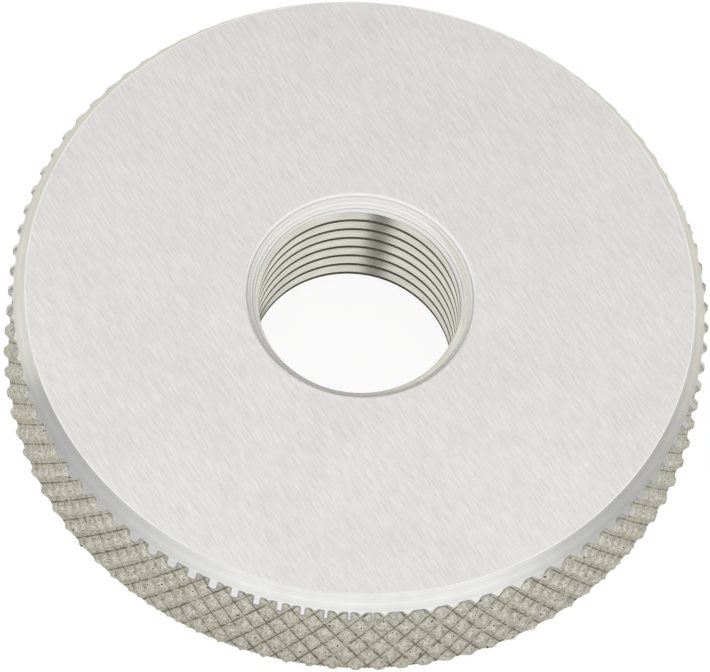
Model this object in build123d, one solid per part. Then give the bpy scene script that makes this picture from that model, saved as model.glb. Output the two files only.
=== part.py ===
# Thread ring gauge: a hardened steel ring, turned and ground, with a fine internal thread
# and a diamond knurl on its rim. Millimetres, +Z up along the bore's axis, with the origin
# at the centre of the lower face.
import os
from math import ceil, cos, floor, pi, radians, sin, sqrt, tan

from build123d import *

# The turned ring
outer_diameter = 38.0
thickness = 8.8
upper_chamfer_height = 1.5
upper_chamfer_angle = 30.0  # degrees from the axis
lower_chamfer_height = 1.45
lower_chamfer_angle = 45.0

# The thread. Its bore is modelled plain, at the minor diameter, which is where the ring
# closes on a screw.
thread_major_diameter = 12.0
thread_pitch = 1.0
countersink_diameter = 12.6
countersink_angle = 90.0  # degrees, included

# The knurl: two sets of grooves that lean opposite ways round the rim. The two knurling
# wheels track a few grooves apart in a turn, so the diamonds change a little on the way.
left_hand_grooves = 96
right_hand_grooves = 92
groove_lean = 29.7  # degrees from the axis
groove_depth = 0.27
left_hand_start = 0.24  # degrees round the rim where the first groove meets the lower face
right_hand_start = 2.55

# What follows from those sizes
crest_radius = outer_diameter / 2
root_radius = crest_radius - groove_depth
minor_radius = (thread_major_diameter - 5 / 8 * sqrt(3) * thread_pitch) / 2
countersink_radius = countersink_diameter / 2
countersink_depth = (countersink_radius - minor_radius) / tan(radians(countersink_angle / 2))
upper_slope = tan(radians(upper_chamfer_angle))
lower_slope = tan(radians(lower_chamfer_angle))
upper_face_radius = crest_radius - upper_chamfer_height * upper_slope
lower_face_radius = crest_radius - lower_chamfer_height * lower_slope
lean_slope = tan(radians(groove_lean))
stock = 1.0  # what is turned away beyond the knurl's crests


def turned_ring():
    """The bore, countersinks, faces and rim chamfers, with stock left on for the knurl."""
    stock_radius = crest_radius + stock
    half_section = Polyline(
        (minor_radius, countersink_depth),
        (countersink_radius, 0),
        (lower_face_radius, 0),
        (stock_radius, (stock_radius - lower_face_radius) / lower_slope),
        (stock_radius, thickness - (stock_radius - upper_face_radius) / upper_slope),
        (upper_face_radius, thickness),
        (countersink_radius, thickness),
        (minor_radius, thickness - countersink_depth),
        close=True,
    )
    return revolve(Plane.XZ * make_face(half_section), Axis.Z)


def groove_angle(start, count, number):
    """Where a groove meets the lower face, in radians round the rim."""
    return radians(start) + 2 * pi * number / count


def crossing(left, right):
    """The angle and height at which a left-hand and a right-hand groove cross."""
    falling = groove_angle(left_hand_start, left_hand_grooves, left)
    rising = groove_angle(right_hand_start, right_hand_grooves, right)
    height = crest_radius * (falling - rising) / 2 / lean_slope
    return (falling + rising) / 2, height


def same_crossing(left, right):
    """One name for a crossing, however many turns round the rim its grooves were counted."""
    turns = left // left_hand_grooves
    return left - turns * left_hand_grooves, right - turns * right_hand_grooves


def diamond_corners(left, right):
    """The four crossings round a diamond: left, lowest, right and highest."""
    return [(left, right), (left, right + 1), (left + 1, right + 1), (left + 1, right)]


def diamonds_between(low, high):
    """Every diamond that reaches into the stretch of rim from low to high."""
    groove_spacing = 2 * pi / right_hand_grooves
    found = []
    for left in range(left_hand_grooves):
        falling = groove_angle(left_hand_start, left_hand_grooves, left) - radians(right_hand_start)
        first = floor((falling - 2 * lean_slope * high / crest_radius) / groove_spacing) - 1
        last = ceil((falling - 2 * lean_slope * low / crest_radius) / groove_spacing) + 1
        for right in range(first, last):
            heights = [crossing(*corner)[1] for corner in diamond_corners(left, right)]
            if max(heights) > low and min(heights) < high:
                found.append((left, right))
    return found


def on_rim(radius, angle, height):
    return Vector(radius * cos(angle), radius * sin(angle), height)


def diamond_flanks(left, right):
    """The four flanks of a diamond, from the grooves round it up to its point."""
    corners = [crossing(*corner) for corner in diamond_corners(left, right)]
    angle = sum(corner[0] for corner in corners) / 4
    height = sum(corner[1] for corner in corners) / 4
    point = on_rim(crest_radius, angle, height)
    foot = [on_rim(root_radius, *corner) for corner in corners]
    return [(start, end, point) for start, end in zip(foot, foot[1:] + foot[:1])]


def plain_end(edges, level):
    """Walls from the outermost grooves straight to a level beyond the ring, and the end there."""
    walls = [
        (
            on_rim(root_radius, *near),
            on_rim(root_radius, *far),
            on_rim(root_radius, far[0], level),
            on_rim(root_radius, near[0], level),
        )
        for near, far in edges
    ]
    angles = sorted(near[0] % (2 * pi) for near, far in edges)
    return walls + [tuple(on_rim(root_radius, angle, level) for angle in angles)]


def knurled_bar():
    """A bar of the ring's outer diameter, knurled over the stretch that the ring is cut from."""
    # the grooves die out on the chamfers, where those reach the bottom of the knurl
    lower_run_out = (root_radius - lower_face_radius) / lower_slope
    upper_run_out = (root_radius - upper_face_radius) / upper_slope
    diamonds = diamonds_between(lower_run_out, thickness - upper_run_out)
    sides = {}
    for diamond in diamonds:
        corners = diamond_corners(*diamond)
        for start, end in zip(corners, corners[1:] + corners[:1]):
            side = frozenset((same_crossing(*start), same_crossing(*end)))
            sides.setdefault(side, []).append(sorted((crossing(*start), crossing(*end))))
    # a side that only one diamond has is on the outline of the knurl
    outline = [found[0] for found in sides.values() if len(found) == 1]
    lower = [edge for edge in outline if edge[0][1] < thickness / 2]
    upper = [edge for edge in outline if edge[0][1] > thickness / 2]
    lowest = min(height for edge in lower for angle, height in edge)
    highest = max(height for edge in upper for angle, height in edge)
    polygons = [flank for diamond in diamonds for flank in diamond_flanks(*diamond)]
    polygons += plain_end(lower, min(lowest, 0) - stock)
    polygons += plain_end(upper, max(highest, thickness) + stock)
    return Solid(Shell([Face(Wire.make_polygon(polygon)) for polygon in polygons]))


gauge_ring = turned_ring() & knurled_bar()

os.makedirs("parts", exist_ok=True)
export_step(gauge_ring, "parts/gauge_ring.step")
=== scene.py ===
# Thread ring gauge: a hardened steel ring with a fine thread through it and a diamond knurl
# round its rim, lying on one face. Metres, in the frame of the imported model, with +Z up the
# bore's axis.
from math import cos, pi, radians, sin, sqrt, tan

import bmesh
import bpy
from mathutils import Matrix, Vector


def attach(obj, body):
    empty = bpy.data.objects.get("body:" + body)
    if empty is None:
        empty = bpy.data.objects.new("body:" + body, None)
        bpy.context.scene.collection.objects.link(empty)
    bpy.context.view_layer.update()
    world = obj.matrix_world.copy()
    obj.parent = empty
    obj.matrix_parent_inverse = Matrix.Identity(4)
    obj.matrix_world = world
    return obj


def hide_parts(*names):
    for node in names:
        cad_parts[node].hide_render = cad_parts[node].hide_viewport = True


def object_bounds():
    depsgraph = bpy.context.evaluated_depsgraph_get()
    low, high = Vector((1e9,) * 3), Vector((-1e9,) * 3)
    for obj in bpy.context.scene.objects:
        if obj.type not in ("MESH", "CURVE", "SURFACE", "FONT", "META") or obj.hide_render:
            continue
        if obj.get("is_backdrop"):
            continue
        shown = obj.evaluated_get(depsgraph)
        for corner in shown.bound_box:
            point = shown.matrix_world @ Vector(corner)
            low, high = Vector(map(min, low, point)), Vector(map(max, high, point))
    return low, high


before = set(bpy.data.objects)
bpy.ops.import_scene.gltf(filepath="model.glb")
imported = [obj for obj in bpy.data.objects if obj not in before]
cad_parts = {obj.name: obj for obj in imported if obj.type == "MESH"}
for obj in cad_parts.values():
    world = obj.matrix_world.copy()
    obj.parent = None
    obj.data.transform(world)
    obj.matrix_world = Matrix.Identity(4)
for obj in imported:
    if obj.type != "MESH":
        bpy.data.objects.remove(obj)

ring_low, ring_high = (Vector(corner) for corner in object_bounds())
mm = 0.001


# The knurled bar. The ring starts as a bar of tool steel, and two hardened wheels with
# slanted teeth press their grooves into it, leaning opposite ways, which leaves low pyramids
# between them. The metal tears a little as it gives, so the pyramids are matt and pitted.
crest_radius = (ring_high.x - ring_low.x) / 2
thickness = ring_high.z - ring_low.z
left_hand_grooves = 96
right_hand_grooves = 92
left_hand_start = radians(0.24)
right_hand_start = radians(2.55)
groove_lean = radians(29.7)
knurl_depth = 0.27 * mm
same_point = 0.003 * mm
# the chamfer above the knurl, whose cone the turning tool smeared the knurl's crests along
upper_chamfer_height = 1.5 * mm
upper_chamfer_angle = radians(30)


def add(tree, kind, inputs=(), **settings):
    """Add a node with its settings, and give each named or numbered input a value or a link."""
    node = tree.nodes.new(kind)
    for name, value in settings.items():
        setattr(node, name, value)
    for socket, value in dict(inputs).items():
        if isinstance(value, bpy.types.Node):
            value = next(output for output in value.outputs if output.enabled)
        if isinstance(value, bpy.types.NodeSocket):
            tree.links.new(value, node.inputs[socket])
        else:
            node.inputs[socket].default_value = value
    return node


def new_tree(name, inputs):
    """A Geometry Nodes tree with a named input for each size, and its group input node."""
    tree = bpy.data.node_groups.new(name, "GeometryNodeTree")
    for label, kind in inputs.items():
        tree.interface.new_socket(label, in_out="INPUT", socket_type=kind)
    tree.interface.new_socket("Geometry", in_out="OUTPUT", socket_type="NodeSocketGeometry")
    return tree, tree.nodes.new("NodeGroupInput")


def grow(tree, values):
    """Run a tree on an empty object with its inputs set, and keep the result as a mesh."""
    holder = bpy.data.objects.new(tree.name, bpy.data.meshes.new(tree.name))
    bpy.context.collection.objects.link(holder)
    modifier = holder.modifiers.new(tree.name, "NODES")
    modifier.node_group = tree
    identifiers = {item.name: item.identifier for item in tree.interface.items_tree
                   if item.in_out == "INPUT"}
    for label, value in values.items():
        modifier[identifiers[label]] = value
    seen = holder.evaluated_get(bpy.context.evaluated_depsgraph_get())
    mesh = bpy.data.meshes.new_from_object(seen)
    holder.modifiers.clear()
    holder.data = mesh
    build = bmesh.new()
    build.from_mesh(mesh)
    bmesh.ops.recalc_face_normals(build, faces=build.faces)
    build.to_mesh(mesh)
    build.free()
    return holder


def colour(hex_code):
    """An sRGB hex colour as the linear colour that a shader takes."""
    shares = [int(hex_code[i:i + 2], 16) / 255 for i in (1, 3, 5)]
    linear = [s / 12.92 if s <= 0.04045 else ((s + 0.055) / 1.055) ** 2.4 for s in shares]
    return (*linear, 1.0)


def new_material(name):
    """An empty node material."""
    material = bpy.data.materials.new(name)
    material.use_nodes = True
    material.node_tree.nodes.clear()
    return material, material.node_tree


# Hardened tool steel, knurled and left as it came off the wheels: matt, warm grey and a little
# pitted, with painted shade: a thin dark line down the middle of each groove.
knurled_steel, tree = new_material("knurled_tool_steel")
place = add(tree, "ShaderNodeTexCoord").outputs["Object"]
parts = add(tree, "ShaderNodeSeparateXYZ", {0: place})
angle = add(tree, "ShaderNodeMath", {0: parts.outputs[1], 1: parts.outputs[0]}, operation="ARCTAN2")
twist = tan(groove_lean) / crest_radius
to_groove = []
for sign, count, start in ((1, left_hand_grooves, left_hand_start),
                           (-1, right_hand_grooves, right_hand_start)):
    wound = add(tree, "ShaderNodeMath", {0: parts.outputs[2], 1: sign * twist, 2: angle},
                operation="MULTIPLY_ADD")
    counted = add(tree, "ShaderNodeMath", {0: wound, 1: count / (2 * pi), 2: -start * count / (2 * pi)},
                  operation="MULTIPLY_ADD")
    to_groove.append(add(tree, "ShaderNodeMath", {0: counted, 1: 0.5}, operation="PINGPONG"))
near_groove = add(tree, "ShaderNodeMath", {0: to_groove[0], 1: to_groove[1]}, operation="MINIMUM")
ragged = add(tree, "ShaderNodeTexNoise", {"Vector": place, "Scale": 1 / (0.6 * mm), "Detail": 3.0,
                                          "Roughness": 0.7})
# painted shade: a thin ragged dark line down the middle of each groove, whose mask also dents the bump
groove_shade_half = add(tree, "ShaderNodeMapRange", {"Value": ragged, "From Min": 0.36, "From Max": 0.66,
                                              "To Min": 0.0, "To Max": 0.11})
groove_shade = add(tree, "ShaderNodeMapRange", {"Value": near_groove, "From Min": 0.0, "From Max": groove_shade_half,
                                         "To Min": 1.0, "To Max": 0.0})
burr = add(tree, "ShaderNodeMapRange", {"Value": near_groove, "From Min": 0.06, "From Max": 0.12,
                                        "To Min": 1.0, "To Max": 0.0})
pit_noise = add(tree, "ShaderNodeTexNoise", {"Vector": place, "Scale": 1 / (0.22 * mm), "Detail": 2.0,
                                             "Roughness": 0.55})
pit = add(tree, "ShaderNodeMapRange", {"Value": pit_noise, "From Min": 0.63, "From Max": 0.70,
                                       "To Min": 0.0, "To Max": 1.0})
mottle = add(tree, "ShaderNodeTexNoise", {"Vector": place, "Scale": 1 / (0.22 * mm), "Detail": 3.0,
                                          "Roughness": 0.7})
mottle_share = add(tree, "ShaderNodeMapRange", {"Value": mottle, "From Min": 0.36, "From Max": 0.62})
tone = add(tree, "ShaderNodeMix", {0: mottle_share, 6: colour("#B9B7AE"), 7: colour("#F7F6F1")},
           data_type="RGBA")
# the groove lines are painted dark, as painted shade
groove_shaded = add(tree, "ShaderNodeMix", {0: groove_shade, 6: tone.outputs[2], 7: colour("#5E5A4A")},
             data_type="RGBA")
pitted = add(tree, "ShaderNodeMix", {0: pit, 6: groove_shaded.outputs[2], 7: colour("#3A362A")},
             data_type="RGBA")
# under the upper chamfer the turning tool has smeared the metal into a smooth bluish lip
flat_place = add(tree, "ShaderNodeCombineXYZ", {0: parts.outputs[0], 1: parts.outputs[1]})
out = add(tree, "ShaderNodeVectorMath", {0: flat_place}, operation="LENGTH")
chamfer_slope = tan(upper_chamfer_angle)
cone_at_foot = crest_radius + (thickness - upper_chamfer_height) * chamfer_slope
cone_here = add(tree, "ShaderNodeMath", {0: parts.outputs[2], 1: -chamfer_slope, 2: cone_at_foot},
                operation="MULTIPLY_ADD")
below_cone = add(tree, "ShaderNodeMath", {0: cone_here, 1: out.outputs["Value"]}, operation="SUBTRACT")
lip = add(tree, "ShaderNodeMapRange", {"Value": below_cone, "From Min": 0.07 * mm, "From Max": 0.13 * mm,
                                       "To Min": 1.0, "To Max": 0.0})
smeared = add(tree, "ShaderNodeMix", {0: lip, 6: pitted.outputs[2], 7: colour("#BFC0C5")},
              data_type="RGBA")
sunk = add(tree, "ShaderNodeMath", {0: groove_shade, 1: pit}, operation="MAXIMUM")
level = add(tree, "ShaderNodeMath", {0: burr, 1: 0.25}, operation="MULTIPLY")
height = add(tree, "ShaderNodeMath", {0: level, 1: sunk}, operation="SUBTRACT")
deep = add(tree, "ShaderNodeBump", {"Height": height, "Distance": 0.04 * mm, "Strength": 0.7})
relief = add(tree, "ShaderNodeBump", {"Height": mottle, "Distance": 0.05 * mm, "Strength": 0.8,
                                      "Normal": deep})
steel = add(tree, "ShaderNodeBsdfPrincipled", {"Base Color": smeared.outputs[2], "Metallic": 1.0,
                                               "Roughness": 0.4, "Normal": relief})
add(tree, "ShaderNodeOutputMaterial", {"Surface": steel})

tree, sizes = new_tree("knurled_bar", {
    "Left hand grooves": "NodeSocketInt", "Right hand grooves": "NodeSocketInt",
    "Left hand start": "NodeSocketFloat", "Right hand start": "NodeSocketFloat",
    "Lean slope": "NodeSocketFloat", "Crest radius": "NodeSocketFloat", "Depth": "NodeSocketFloat",
    "Lowest": "NodeSocketFloat", "Highest": "NodeSocketFloat", "Rows": "NodeSocketInt",
    "Floor": "NodeSocketFloat", "Crest": "NodeSocketFloat", "Floor rise": "NodeSocketFloat",
    "Tear depth": "NodeSocketFloat", "Seed": "NodeSocketInt", "Material": "NodeSocketMaterial"})
size = sizes.outputs

# one flat patch for each diamond, counted in grooves: left-hand ones along X, right-hand along Y
index = add(tree, "GeometryNodeInputIndex")
column = add(tree, "ShaderNodeMath", {0: index, 1: size["Left hand grooves"]}, operation="FLOORED_MODULO")
along = add(tree, "ShaderNodeMath", {0: index, 1: size["Left hand grooves"]}, operation="DIVIDE")
row = add(tree, "ShaderNodeMath", {0: along}, operation="FLOOR")
left_spacing = add(tree, "ShaderNodeMath", {0: 2 * pi, 1: size["Left hand grooves"]}, operation="DIVIDE")
right_spacing = add(tree, "ShaderNodeMath", {0: 2 * pi, 1: size["Right hand grooves"]}, operation="DIVIDE")
falling = add(tree, "ShaderNodeMath", {0: column, 1: left_spacing, 2: size["Left hand start"]},
              operation="MULTIPLY_ADD")
twist = add(tree, "ShaderNodeMath", {0: size["Lean slope"], 1: size["Crest radius"]}, operation="DIVIDE")
double_twist = add(tree, "ShaderNodeMath", {0: twist, 1: 2.0}, operation="MULTIPLY")
rise = add(tree, "ShaderNodeMath", {0: double_twist, 1: size["Highest"]}, operation="MULTIPLY")
top_angle = add(tree, "ShaderNodeMath", {0: falling, 1: rise}, operation="SUBTRACT")
from_start = add(tree, "ShaderNodeMath", {0: top_angle, 1: size["Right hand start"]}, operation="SUBTRACT")
in_grooves = add(tree, "ShaderNodeMath", {0: from_start, 1: right_spacing}, operation="DIVIDE")
whole = add(tree, "ShaderNodeMath", {0: in_grooves}, operation="FLOOR")
first = add(tree, "ShaderNodeMath", {0: whole, 1: 1.0}, operation="SUBTRACT")
across = add(tree, "ShaderNodeMath", {0: first, 1: row}, operation="ADD")
corner = add(tree, "ShaderNodeCombineXYZ", {0: column, 1: across})
middle = add(tree, "ShaderNodeVectorMath", {0: corner, 1: (0.5, 0.5, 0)}, operation="ADD")
diamonds = add(tree, "ShaderNodeMath", {0: size["Left hand grooves"], 1: size["Rows"]}, operation="MULTIPLY")
points = add(tree, "GeometryNodeMeshLine", {"Count": diamonds, "Offset": (0, 0, 0)})
spread = add(tree, "GeometryNodeSetPosition", {"Geometry": points, "Position": middle})
# its rows of points stand where the form turns: at the foot, up the flank and at the crest
point_rows = (0.0, 0.13, 0.18, 0.25, 0.34, 0.5)
patch = add(tree, "GeometryNodeMeshGrid", {"Size X": 1.0, "Size Y": 1.0,
                                            "Vertices X": 2 * len(point_rows) - 1,
                                            "Vertices Y": 2 * len(point_rows) - 1})
flat = add(tree, "GeometryNodeInputPosition")
flat_parts = add(tree, "ShaderNodeSeparateXYZ", {0: flat})
moved = []
for axis in range(2):
    from_edge = add(tree, "ShaderNodeMath", {0: flat_parts.outputs[axis], 1: 0.5}, operation="ADD")
    spacing = add(tree, "ShaderNodeFloatCurve", {"Value": from_edge})
    line = spacing.mapping.curves[0]
    for number, row_at in enumerate(point_rows[1:], 1):
        line.points.new(number / (2 * len(point_rows) - 2), row_at)
        if row_at < 0.5:
            line.points.new(1 - number / (2 * len(point_rows) - 2), 1 - row_at)
    for point in line.points:
        point.handle_type = "VECTOR"
    spacing.mapping.update()
    moved.append(add(tree, "ShaderNodeMath", {0: spacing, 1: 0.5}, operation="SUBTRACT"))
shifted = add(tree, "ShaderNodeCombineXYZ", {0: moved[0], 1: moved[1]})
crowded = add(tree, "GeometryNodeSetPosition", {"Geometry": patch, "Position": shifted})
placed = add(tree, "GeometryNodeInstanceOnPoints", {"Points": spread, "Instance": crowded})
real = add(tree, "GeometryNodeRealizeInstances", {0: placed})

# the pyramid over each patch, from the distance to the nearest groove of each hand
place = add(tree, "GeometryNodeInputPosition")
parts = add(tree, "ShaderNodeSeparateXYZ", {0: place})
left_near = add(tree, "ShaderNodeMath", {0: parts.outputs[0], 1: 0.5}, operation="PINGPONG")
right_near = add(tree, "ShaderNodeMath", {0: parts.outputs[1], 1: 0.5}, operation="PINGPONG")
left_flank = add(tree, "ShaderNodeMath", {0: left_near, 1: 2.0}, operation="MULTIPLY")
right_flank = add(tree, "ShaderNodeMath", {0: right_near, 1: 2.0}, operation="MULTIPLY")
nearest = add(tree, "ShaderNodeMath", {0: left_flank, 1: right_flank}, operation="MINIMUM")
flank = add(tree, "ShaderNodeMapRange", {"Value": nearest, "From Min": size["Floor"],
                                         "From Max": size["Crest"], "To Min": 0.0, "To Max": 1.0},
            interpolation_type="SMOOTHSTEP")
steep = add(tree, "ShaderNodeMath", {0: 1.0, 1: size["Floor rise"]}, operation="SUBTRACT")
gentle = add(tree, "ShaderNodeMath", {0: nearest, 1: size["Floor rise"]}, operation="MULTIPLY")
share = add(tree, "ShaderNodeMath", {0: flank, 1: steep, 2: gentle}, operation="MULTIPLY_ADD")
low_part = add(tree, "ShaderNodeMath", {0: 1.0, 1: share}, operation="SUBTRACT")
drop = add(tree, "ShaderNodeMath", {0: low_part, 1: size["Depth"]}, operation="MULTIPLY")
falling = add(tree, "ShaderNodeMath", {0: parts.outputs[0], 1: left_spacing, 2: size["Left hand start"]},
              operation="MULTIPLY_ADD")
rising = add(tree, "ShaderNodeMath", {0: parts.outputs[1], 1: right_spacing, 2: size["Right hand start"]},
             operation="MULTIPLY_ADD")
both = add(tree, "ShaderNodeMath", {0: falling, 1: rising}, operation="ADD")
angle = add(tree, "ShaderNodeMath", {0: both, 1: 0.5}, operation="MULTIPLY")
apart = add(tree, "ShaderNodeMath", {0: falling, 1: rising}, operation="SUBTRACT")
height = add(tree, "ShaderNodeMath", {0: apart, 1: double_twist}, operation="DIVIDE")
cosine = add(tree, "ShaderNodeMath", {0: angle}, operation="COSINE")
sine = add(tree, "ShaderNodeMath", {0: angle}, operation="SINE")
outward = add(tree, "ShaderNodeCombineXYZ", {0: cosine, 1: sine})
upward = add(tree, "ShaderNodeCombineXYZ", {2: height})
on_rim = add(tree, "ShaderNodeVectorMath", {0: outward, "Scale": size["Crest radius"]}, operation="SCALE")
sample = add(tree, "ShaderNodeVectorMath", {0: on_rim, 1: upward}, operation="ADD")
tear = add(tree, "ShaderNodeTexNoise", {"Vector": sample, "W": size["Seed"], "Scale": 1 / (0.5 * mm),
                                        "Detail": 2.0}, noise_dimensions="4D")
torn = add(tree, "ShaderNodeMath", {0: tear, 1: size["Tear depth"]}, operation="MULTIPLY")
inward_torn = add(tree, "ShaderNodeMath", {0: drop, 1: torn}, operation="ADD")
radius = add(tree, "ShaderNodeMath", {0: size["Crest radius"], 1: inward_torn}, operation="SUBTRACT")
reach = add(tree, "ShaderNodeVectorMath", {0: outward, "Scale": radius}, operation="SCALE")
wrapped = add(tree, "ShaderNodeVectorMath", {0: reach, 1: upward}, operation="ADD")
rim = add(tree, "GeometryNodeSetPosition", {"Geometry": real, "Position": wrapped})
joined = add(tree, "GeometryNodeMergeByDistance", {"Geometry": rim, "Distance": same_point})

# its two open ends are drawn in to a point on the axis, well clear of the ring's faces
neighbours = add(tree, "GeometryNodeInputMeshEdgeNeighbors")
rim_edge = add(tree, "FunctionNodeCompare", {"A": neighbours, "B": 1}, data_type="INT", operation="EQUAL")
cone = add(tree, "GeometryNodeExtrudeMesh", {"Mesh": joined, "Selection": rim_edge, "Offset Scale": 0.0},
           mode="EDGES")
place = add(tree, "GeometryNodeInputPosition")
parts = add(tree, "ShaderNodeSeparateXYZ", {0: place})
middle_height = add(tree, "ShaderNodeMath", {0: size["Lowest"], 1: size["Highest"]}, operation="ADD")
half_height = add(tree, "ShaderNodeMath", {0: middle_height, 1: 0.5}, operation="MULTIPLY")
above = add(tree, "ShaderNodeMath", {0: parts.outputs[2], 1: half_height}, operation="SUBTRACT")
side = add(tree, "ShaderNodeMath", {0: above}, operation="SIGN")
beyond = add(tree, "ShaderNodeMath", {0: side, 1: size["Crest radius"], 2: half_height},
             operation="MULTIPLY_ADD")
pole = add(tree, "ShaderNodeCombineXYZ", {2: beyond})
drawn_in = add(tree, "GeometryNodeSetPosition", {"Geometry": cone, "Selection": cone.outputs["Top"],
                                                 "Position": pole})
closed = add(tree, "GeometryNodeMergeByDistance", {"Geometry": drawn_in, "Distance": same_point})
single = add(tree, "GeometryNodeRealizeInstances", {0: closed})
dressed = add(tree, "GeometryNodeSetMaterial", {"Geometry": single, "Material": size["Material"]})
add(tree, "NodeGroupOutput", {"Geometry": dressed})

upper_face_radius = crest_radius - upper_chamfer_height * tan(upper_chamfer_angle)
lower_chamfer_height = 1.45 * mm
lower_chamfer_angle = radians(45)
lower_face_radius = crest_radius - lower_chamfer_height * tan(lower_chamfer_angle)
row_height = pi * crest_radius / right_hand_grooves / tan(groove_lean)
knurled_bar = grow(tree, {
    "Left hand grooves": left_hand_grooves, "Right hand grooves": right_hand_grooves,
    "Left hand start": left_hand_start, "Right hand start": right_hand_start,
    "Lean slope": tan(groove_lean), "Crest radius": crest_radius, "Depth": knurl_depth,
    "Lowest": 0.0, "Highest": thickness, "Rows": int(thickness / row_height) + 5,
    "Floor": 0.26, "Crest": 0.74, "Floor rise": 0.14,
    "Tear depth": 0.02 * mm, "Seed": 5, "Material": knurled_steel})


# The turned blank. A lathe faces the bar, bores it, chamfers both ends of the rim through the
# knurl, and countersinks both ends of the bore. After hardening the faces are ground flat on
# a table grinder, whose wheel leaves short straight scratches all one way.
thread_pitch = 1.0 * mm
thread_major_radius = 6.0 * mm
minor_radius = thread_major_radius - 5 / 16 * sqrt(3) * thread_pitch
countersink_radius = 6.3 * mm
edge_break = 0.04 * mm
stock = 1.0 * mm
around = 360

# Ground tool steel: silver grey with a soft sheen, under a felt of short straight scratches and
# faint broad clouds.
scratch_direction = radians(129.5)
ground_steel, tree = new_material("ground_tool_steel")
place = add(tree, "ShaderNodeTexCoord").outputs["Object"]
turned = add(tree, "ShaderNodeMapping", {"Vector": place, "Rotation": (0, 0, -scratch_direction)})
layers = []
for length, width in ((0.8 * mm, 0.07 * mm), (1.8 * mm, 0.12 * mm)):
    stretched = add(tree, "ShaderNodeMapping", {"Vector": turned, "Scale": (1 / length, 1 / width, 1)})
    layers.append(add(tree, "ShaderNodeTexNoise", {"Vector": stretched, "Scale": 1.0, "Detail": 2.0,
                                                   "Roughness": 0.6}))
clouds = add(tree, "ShaderNodeTexNoise", {"Vector": place, "Scale": 1 / (3.5 * mm), "Detail": 3.0})
both = add(tree, "ShaderNodeMath", {0: layers[0], 1: layers[1]}, operation="ADD")
scratches = add(tree, "ShaderNodeMapRange", {"Value": both, "From Min": 0.7, "From Max": 1.3})
clouded = add(tree, "ShaderNodeMath", {0: clouds, 1: 0.5, 2: scratches}, operation="MULTIPLY_ADD")
tone_share = add(tree, "ShaderNodeMapRange", {"Value": clouded, "From Min": 0.15, "From Max": 1.35})
tone = add(tree, "ShaderNodeMix", {0: tone_share, 6: colour("#D9D8D5"), 7: colour("#F0EFEC")},
           data_type="RGBA")
relief = add(tree, "ShaderNodeBump", {"Height": scratches, "Distance": 0.003 * mm, "Strength": 0.4})
steel = add(tree, "ShaderNodeBsdfPrincipled", {"Base Color": tone.outputs[2], "Metallic": 1.0,
                                               "Roughness": 0.34, "Normal": relief})
add(tree, "ShaderNodeOutputMaterial", {"Surface": steel})

# Turned and polished tool steel, on the chamfers: brighter and smooth, with hardly a ring.
polished_steel, tree = new_material("polished_tool_steel")
place = add(tree, "ShaderNodeTexCoord").outputs["Object"]
parts = add(tree, "ShaderNodeSeparateXYZ", {0: place})
rings = add(tree, "ShaderNodeTexNoise", {"W": 0.0, "Scale": 1 / (0.3 * mm), "Detail": 1.0},
            noise_dimensions="1D")
tree.links.new(parts.outputs[2], rings.inputs["W"])
smears = add(tree, "ShaderNodeTexNoise", {"Vector": place, "Scale": 1 / (1.2 * mm), "Detail": 4.0})
worn = add(tree, "ShaderNodeMath", {0: rings, 1: smears}, operation="ADD")
tone_share = add(tree, "ShaderNodeMapRange", {"Value": worn, "From Min": 0.6, "From Max": 1.4})
tone = add(tree, "ShaderNodeMix", {0: tone_share, 6: colour("#E6E6E4"), 7: colour("#F4F4F2")},
           data_type="RGBA")
relief = add(tree, "ShaderNodeBump", {"Height": smears, "Distance": 0.004 * mm, "Strength": 0.3})
steel = add(tree, "ShaderNodeBsdfPrincipled", {"Base Color": tone.outputs[2], "Metallic": 1.0,
                                               "Roughness": 0.28, "Normal": relief})
add(tree, "ShaderNodeOutputMaterial", {"Surface": steel})

# Turned tool steel, in the countersinks: the same, with the fine rings that the tool leaves.
ring_spacing = 0.12 * mm
turned_steel, tree = new_material("turned_tool_steel")
place = add(tree, "ShaderNodeTexCoord").outputs["Object"]
parts = add(tree, "ShaderNodeSeparateXYZ", {0: place})
rings = add(tree, "ShaderNodeTexNoise", {"W": 0.0, "Scale": 1 / ring_spacing, "Detail": 1.0},
            noise_dimensions="1D")
tree.links.new(parts.outputs[2], rings.inputs["W"])
ring_share = add(tree, "ShaderNodeMapRange", {"Value": rings, "From Min": 0.3, "From Max": 0.7})
relief = add(tree, "ShaderNodeBump", {"Height": ring_share, "Distance": 0.014 * mm, "Strength": 0.9})
tone = add(tree, "ShaderNodeMix", {0: ring_share, 6: colour("#ECEBE8"), 7: colour("#FCFBF9")},
           data_type="RGBA")
steel = add(tree, "ShaderNodeBsdfPrincipled", {"Base Color": tone.outputs[2], "Metallic": 1.0,
                                               "Roughness": 0.52, "Normal": relief})
add(tree, "ShaderNodeOutputMaterial", {"Surface": steel})

# Bored tool steel, left on the thread's narrow crests: dull, and coloured dark olive as painted shade for
# the shaded bore floor that they reflect.
shaded_bored_steel, tree = new_material("bored_tool_steel_painted_shade")
place = add(tree, "ShaderNodeTexCoord").outputs["Object"]
bore_marks = add(tree, "ShaderNodeTexNoise", {"Vector": place, "Scale": 1 / (0.4 * mm), "Detail": 3.0})
# painted shade: the crests' dark olive tone stands in for the shaded floor they reflect
tone = add(tree, "ShaderNodeMix", {0: bore_marks, 6: colour("#7E7A6A"), 7: colour("#A09C8C")},
           data_type="RGBA")
relief = add(tree, "ShaderNodeBump", {"Height": bore_marks, "Distance": 0.006 * mm, "Strength": 0.5})
steel = add(tree, "ShaderNodeBsdfPrincipled", {"Base Color": tone.outputs[2], "Metallic": 1.0,
                                               "Roughness": 0.38, "Normal": relief})
add(tree, "ShaderNodeOutputMaterial", {"Surface": steel})

stock_radius = crest_radius + stock
countersink_depth = countersink_radius - minor_radius
face_break = edge_break * tan(upper_chamfer_angle)
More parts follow.
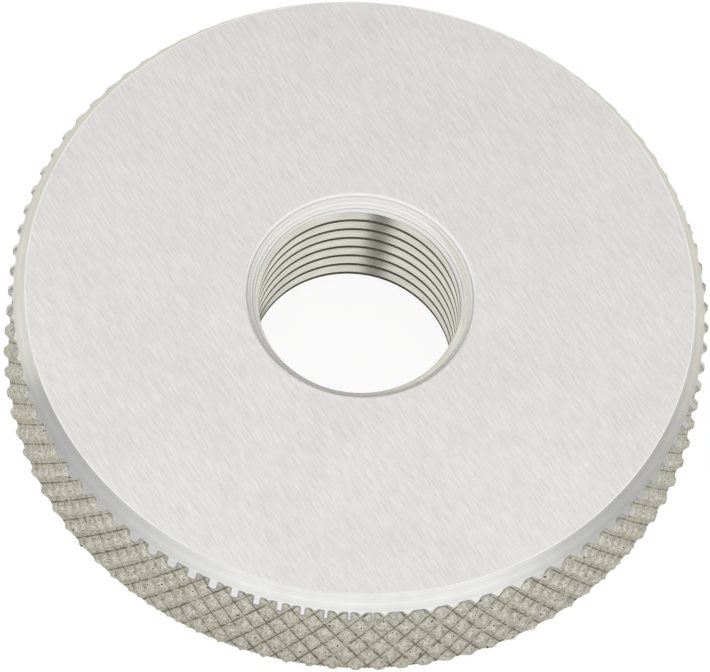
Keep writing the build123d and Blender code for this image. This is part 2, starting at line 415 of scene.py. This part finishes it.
# radius and height of each corner of the section, and the finish from there to the next
section = [
    (minor_radius, thickness - countersink_depth, "bored"),
    (minor_radius, countersink_depth, "turned"),
    (countersink_radius, 0, "ground"),
    (lower_face_radius, 0, "polished"),
    (stock_radius, (stock_radius - lower_face_radius) / tan(lower_chamfer_angle), "polished"),
    (stock_radius, thickness - (stock_radius - upper_face_radius) / tan(upper_chamfer_angle), "polished"),
    (upper_face_radius + face_break, thickness - edge_break, "polished"),
    (upper_face_radius - edge_break, thickness, "ground"),
    (countersink_radius, thickness, "turned"),
]
finishes = {"ground": 0, "turned": 1, "polished": 2, "bored": 3}
build = bmesh.new()
loops = []
for radius, height, finish in section:
    loop = []
    for step in range(around):
        turn = 2 * pi * step / around
        loop.append(build.verts.new((radius * cos(turn), radius * sin(turn), height)))
    loops.append(loop)
for number, (radius, height, finish) in enumerate(section):
    lower, upper = loops[number], loops[(number + 1) % len(loops)]
    for step in range(around):
        after = (step + 1) % around
        band = build.faces.new((lower[step], lower[after], upper[after], upper[step]))
        band.material_index = finishes[finish]
bmesh.ops.recalc_face_normals(build, faces=build.faces)
mesh = bpy.data.meshes.new("gauge_ring_steel")
build.to_mesh(mesh)
build.free()
mesh.materials.append(ground_steel)
mesh.materials.append(turned_steel)
mesh.materials.append(polished_steel)
mesh.materials.append(shaded_bored_steel)
gauge_ring = bpy.data.objects.new("gauge_ring_steel", mesh)
bpy.context.collection.objects.link(gauge_ring)


# The thread. It is ground into the bore, 12 mm across with a turn every millimetre: 60 degree
# flanks, a flat crest a quarter of the pitch wide, and it runs out into both countersinks.
crest_angle = radians(43)
root_flat = thread_pitch / 8
groove_clearance = 0.15 * mm
inner_radius = minor_radius - groove_clearance
lead_in = 1.5 * thread_pitch
turns = int(thickness / thread_pitch) + 4
steps_a_turn = 240
thread_steel, tree = new_material("thread_tool_steel")
place = add(tree, "ShaderNodeTexCoord").outputs["Object"]
stretched = add(tree, "ShaderNodeMapping", {"Vector": place,
                                            "Scale": (1 / (1.5 * mm), 1 / (1.5 * mm), 1 / (0.06 * mm))})
wear = add(tree, "ShaderNodeTexNoise", {"Vector": stretched, "Scale": 1.0, "Detail": 2.0})
tone = add(tree, "ShaderNodeMix", {0: wear, 6: colour("#BEBBB0"), 7: colour("#EAE8E0")},
           data_type="RGBA")
relief = add(tree, "ShaderNodeBump", {"Height": wear, "Distance": 0.002 * mm, "Strength": 0.4})
steel = add(tree, "ShaderNodeBsdfPrincipled", {"Base Color": tone.outputs[2], "Metallic": 1.0,
                                               "Roughness": 0.2, "Normal": relief})
add(tree, "ShaderNodeOutputMaterial", {"Surface": steel})

tree, sizes = new_tree("thread_groove", {
    "Turns": "NodeSocketFloat", "Pitch": "NodeSocketFloat", "Steps": "NodeSocketInt",
    "Start height": "NodeSocketFloat", "Start angle": "NodeSocketFloat",
    "Inner radius": "NodeSocketFloat", "Outer radius": "NodeSocketFloat",
    "Mouth": "NodeSocketFloat", "Root": "NodeSocketFloat", "Material": "NodeSocketMaterial"})
size = sizes.outputs
length = add(tree, "ShaderNodeMath", {0: size["Turns"], 1: size["Pitch"]}, operation="MULTIPLY")
helix = add(tree, "GeometryNodeCurveSpiral", {
    "Resolution": size["Steps"], "Rotations": size["Turns"], "Start Radius": size["Inner radius"],
    "End Radius": size["Inner radius"], "Height": length, "Reverse": True})
upright = add(tree, "GeometryNodeSetCurveNormal", {"Curve": helix}, mode="Z_UP")
bite = add(tree, "ShaderNodeMath", {0: size["Outer radius"], 1: size["Inner radius"]}, operation="SUBTRACT")
half_mouth = add(tree, "ShaderNodeMath", {0: size["Mouth"], 1: 0.5}, operation="MULTIPLY")
half_root = add(tree, "ShaderNodeMath", {0: size["Root"], 1: 0.5}, operation="MULTIPLY")
under_mouth = add(tree, "ShaderNodeMath", {0: half_mouth, 1: -1.0}, operation="MULTIPLY")
under_root = add(tree, "ShaderNodeMath", {0: half_root, 1: -1.0}, operation="MULTIPLY")
# the profile's X axis points away from the bore's axis
corners = [add(tree, "ShaderNodeCombineXYZ", {0: 0.0, 1: under_mouth}),
           add(tree, "ShaderNodeCombineXYZ", {0: bite, 1: under_root}),
           add(tree, "ShaderNodeCombineXYZ", {0: bite, 1: half_root}),
           add(tree, "ShaderNodeCombineXYZ", {0: 0.0, 1: half_mouth})]
profile = add(tree, "GeometryNodeCurvePrimitiveQuadrilateral",
              {f"Point {number + 1}": point for number, point in enumerate(corners)}, mode="POINTS")
swept = add(tree, "GeometryNodeCurveToMesh", {"Curve": upright, "Profile Curve": profile,
                                              "Fill Caps": True})
turn_to = add(tree, "ShaderNodeCombineXYZ", {2: size["Start angle"]})
lift = add(tree, "ShaderNodeCombineXYZ", {2: size["Start height"]})
placed = add(tree, "GeometryNodeTransform", {"Geometry": swept, "Translation": lift, "Rotation": turn_to})
single = add(tree, "GeometryNodeRealizeInstances", {0: placed})
dressed = add(tree, "GeometryNodeSetMaterial", {"Geometry": single, "Material": size["Material"]})
add(tree, "NodeGroupOutput", {"Geometry": dressed})

flank_slope = tan(radians(30))
mouth = root_flat + 2 * (thread_major_radius - inner_radius) * flank_slope
thread_groove = grow(tree, {
    "Turns": float(turns), "Pitch": thread_pitch, "Steps": steps_a_turn,
    "Start height": -lead_in, "Start angle": crest_angle,
    "Inner radius": inner_radius, "Outer radius": thread_major_radius, "Mouth": mouth,
    "Root": root_flat, "Material": thread_steel})


# The finished ring. The turned blank keeps the bar's knurl where the chamfers don't reach it,
# and the thread is cut through its bore, so it is one piece of steel with nothing fixed to it.
for tool, operation in ((knurled_bar, "INTERSECT"), (thread_groove, "DIFFERENCE")):
    cut = gauge_ring.modifiers.new(tool.name, "BOOLEAN")
    cut.object = tool
    cut.operation = operation
    cut.solver = "EXACT"
    cut.material_mode = "TRANSFER"
    seen = gauge_ring.evaluated_get(bpy.context.evaluated_depsgraph_get())
    mesh = bpy.data.meshes.new_from_object(seen)
    gauge_ring.modifiers.clear()
    gauge_ring.data = mesh
bpy.data.objects.remove(knurled_bar)
bpy.data.objects.remove(thread_groove)
gauge_ring.data.name = "gauge_ring_steel"
# every cut leaves a crisp edge, so the shading is smooth only within one finish, and the knurl's
# pressed metal turns over more softly than the turned edges
turned_bend = radians(20)
pressed_bend = radians(34)
build = bmesh.new()
build.from_mesh(gauge_ring.data)
for face in build.faces:
    face.smooth = True
for edge in build.edges:
    one, other = edge.link_faces
    knurled = gauge_ring.data.materials[one.material_index] == knurled_steel
    bend = pressed_bend if knurled else turned_bend
    edge.smooth = one.material_index == other.material_index and edge.calc_face_angle() < bend
build.to_mesh(gauge_ring.data)
build.free()
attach(gauge_ring, "root")
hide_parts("gauge_ring")


# The studio. The ring lies on a sheet of white paper inside a white tent, with two grey boards
# on the table at the sides, which darken the chamfer where it looks at them. The camera sees
# the paper as plain white, with only the ring's own shadow on it.
floor_half = 200 * mm
below_ring = 0.02 * mm
board_height = 1 * mm
left_board_corners = ((-170 * mm, -85 * mm), (-36 * mm, -6 * mm))
right_board_corners = ((40 * mm, -45 * mm), (170 * mm, 20 * mm))
overhead_height = 150 * mm
overhead_corners = ((-130 * mm, 92 * mm), (130 * mm, 210 * mm))
floor_paper, tree = new_material("floor_paper")
ray = add(tree, "ShaderNodeLightPath")
place = add(tree, "ShaderNodeTexCoord").outputs["Object"]
away = add(tree, "ShaderNodeVectorMath", {0: place}, operation="LENGTH")
# painted shade round the ring: to all rays but the camera's, the paper is darker and warmer within 28 mm of
# the ring and fades to white by 70 mm
far_off = add(tree, "ShaderNodeMapRange", {"Value": away.outputs["Value"], "From Min": 28 * mm,
                                           "From Max": 70 * mm})
fibre = add(tree, "ShaderNodeTexNoise", {"Vector": place, "Scale": 1 / (2 * mm), "Detail": 4.0})
near_painted_shade = add(tree, "ShaderNodeMix", {0: fibre, 6: colour("#DFDBCF"), 7: colour("#E9E6DC")},
                data_type="RGBA")
paper = add(tree, "ShaderNodeMix", {0: far_off, 6: near_painted_shade.outputs[2], 7: colour("#FFFFFF")},
            data_type="RGBA")
lit = add(tree, "ShaderNodeBsdfDiffuse", {"Color": paper.outputs[2]})
shadowed = add(tree, "ShaderNodeBsdfDiffuse", {"Color": (0.14, 0.14, 0.14, 1)})
glow = add(tree, "ShaderNodeEmission", {"Color": (1, 1, 1, 1), "Strength": 0.91})
white = add(tree, "ShaderNodeAddShader", {0: shadowed, 1: glow})
floor_look = add(tree, "ShaderNodeMixShader", {0: ray.outputs["Is Camera Ray"], 1: lit, 2: white})
add(tree, "ShaderNodeOutputMaterial", {"Surface": floor_look})


def card_material(name, dark, light):
    """Matt card or cloth with a fibrous mottle, which a camera sees as plain white backdrop."""
    material, tree = new_material(name)
    place = add(tree, "ShaderNodeTexCoord").outputs["Object"]
    fibre = add(tree, "ShaderNodeTexNoise", {"Vector": place, "Scale": 1 / (3 * mm), "Detail": 4.0})
    tone = add(tree, "ShaderNodeMix", {0: fibre, 6: colour(dark), 7: colour(light)}, data_type="RGBA")
    matt = add(tree, "ShaderNodeBsdfDiffuse", {"Color": tone.outputs[2]})
    plain = add(tree, "ShaderNodeEmission", {"Color": (1, 1, 1, 1), "Strength": 1.0})
    ray = add(tree, "ShaderNodeLightPath")
    look = add(tree, "ShaderNodeMixShader", {0: ray.outputs["Is Camera Ray"], 1: matt, 2: plain})
    add(tree, "ShaderNodeOutputMaterial", {"Surface": look})
    return material


grey_board = card_material("grey_board", "#A8A9AB", "#B3B4B5")
pale_card = card_material("pale_card", "#E4E4E3", "#ECECEB")


def sheet(name, low, high, height, material):
    """A flat staged sheet, from its low corner to its high one."""
    mesh = bpy.data.meshes.new(name)
    mesh.from_pydata([(low[0], low[1], height), (high[0], low[1], height),
                      (high[0], high[1], height), (low[0], high[1], height)], [], [(0, 1, 2, 3)])
    mesh.materials.append(material)
    staged = bpy.data.objects.new(name, mesh)
    bpy.context.collection.objects.link(staged)
    staged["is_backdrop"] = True


# the sheet lies a hair below the ring, so that the two surfaces never coincide
sheet("floor", (-floor_half, -floor_half), (floor_half, floor_half), -below_ring, floor_paper)
sheet("left_board", *left_board_corners, board_height, grey_board)
sheet("right_board", *right_board_corners, board_height, grey_board)
# a pale card overhead, beyond the ring, which takes a little light off the far half of its face
sheet("overhead_card", *overhead_corners, overhead_height, pale_card)

world = bpy.data.worlds.new("tent")
bpy.context.scene.world = world
world.use_nodes = True
tree = world.node_tree
tree.nodes.clear()
tent = add(tree, "ShaderNodeBackground", {"Color": (1, 1, 1, 1), "Strength": 1.0})
add(tree, "ShaderNodeOutputWorld", {"Surface": tent})

# The camera, as it stood for the photograph: far off, with a long lens, rolled a little.
camera_elevation = radians(61.588)
camera_distance = 763.23 * mm
camera_roll = radians(7.3614)
aim = Vector((-0.0032 * mm, -2.5556 * mm, thickness))
camera_data = bpy.data.cameras.new("camera")
camera_data.sensor_width = 36
camera_data.lens = 716.59
camera_data.clip_end = 10
camera = bpy.data.objects.new("camera", camera_data)
bpy.context.collection.objects.link(camera)
stand = Vector((0, -camera_distance * cos(camera_elevation),
                thickness + camera_distance * sin(camera_elevation)))
back = (stand - aim).normalized()
level = Vector((0, 0, 1)).cross(back).normalized()
right = cos(camera_roll) * level + sin(camera_roll) * back.cross(level)
up = back.cross(right)
turned_to_ring = Matrix((right, up, back)).transposed().to_4x4()
camera.matrix_world = Matrix.Translation(stand) @ turned_to_ring
bpy.context.scene.camera = camera
bpy.context.scene.view_settings.view_transform = "Standard"

# The photographer's dark shape behind the lens. The thread's upward flanks look straight back
# at it, and it draws a dark smear down the far side of the bore.
dark_half = 95 * mm
dark_aside = -42 * mm
dark_behind = 40 * mm
dark_cloth = card_material("dark_cloth", "#322E20", "#403B2A")
build = bmesh.new()
bmesh.ops.create_circle(build, cap_ends=True, segments=48, radius=dark_half)
mesh = bpy.data.meshes.new("dark_shape")
build.to_mesh(mesh)
build.free()
mesh.materials.append(dark_cloth)
dark_shape = bpy.data.objects.new("dark_shape", mesh)
bpy.context.collection.objects.link(dark_shape)
dark_shape.matrix_world = (Matrix.Translation(stand + dark_aside * right + dark_behind * back)
                           @ turned_to_ring)
dark_shape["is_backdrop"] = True
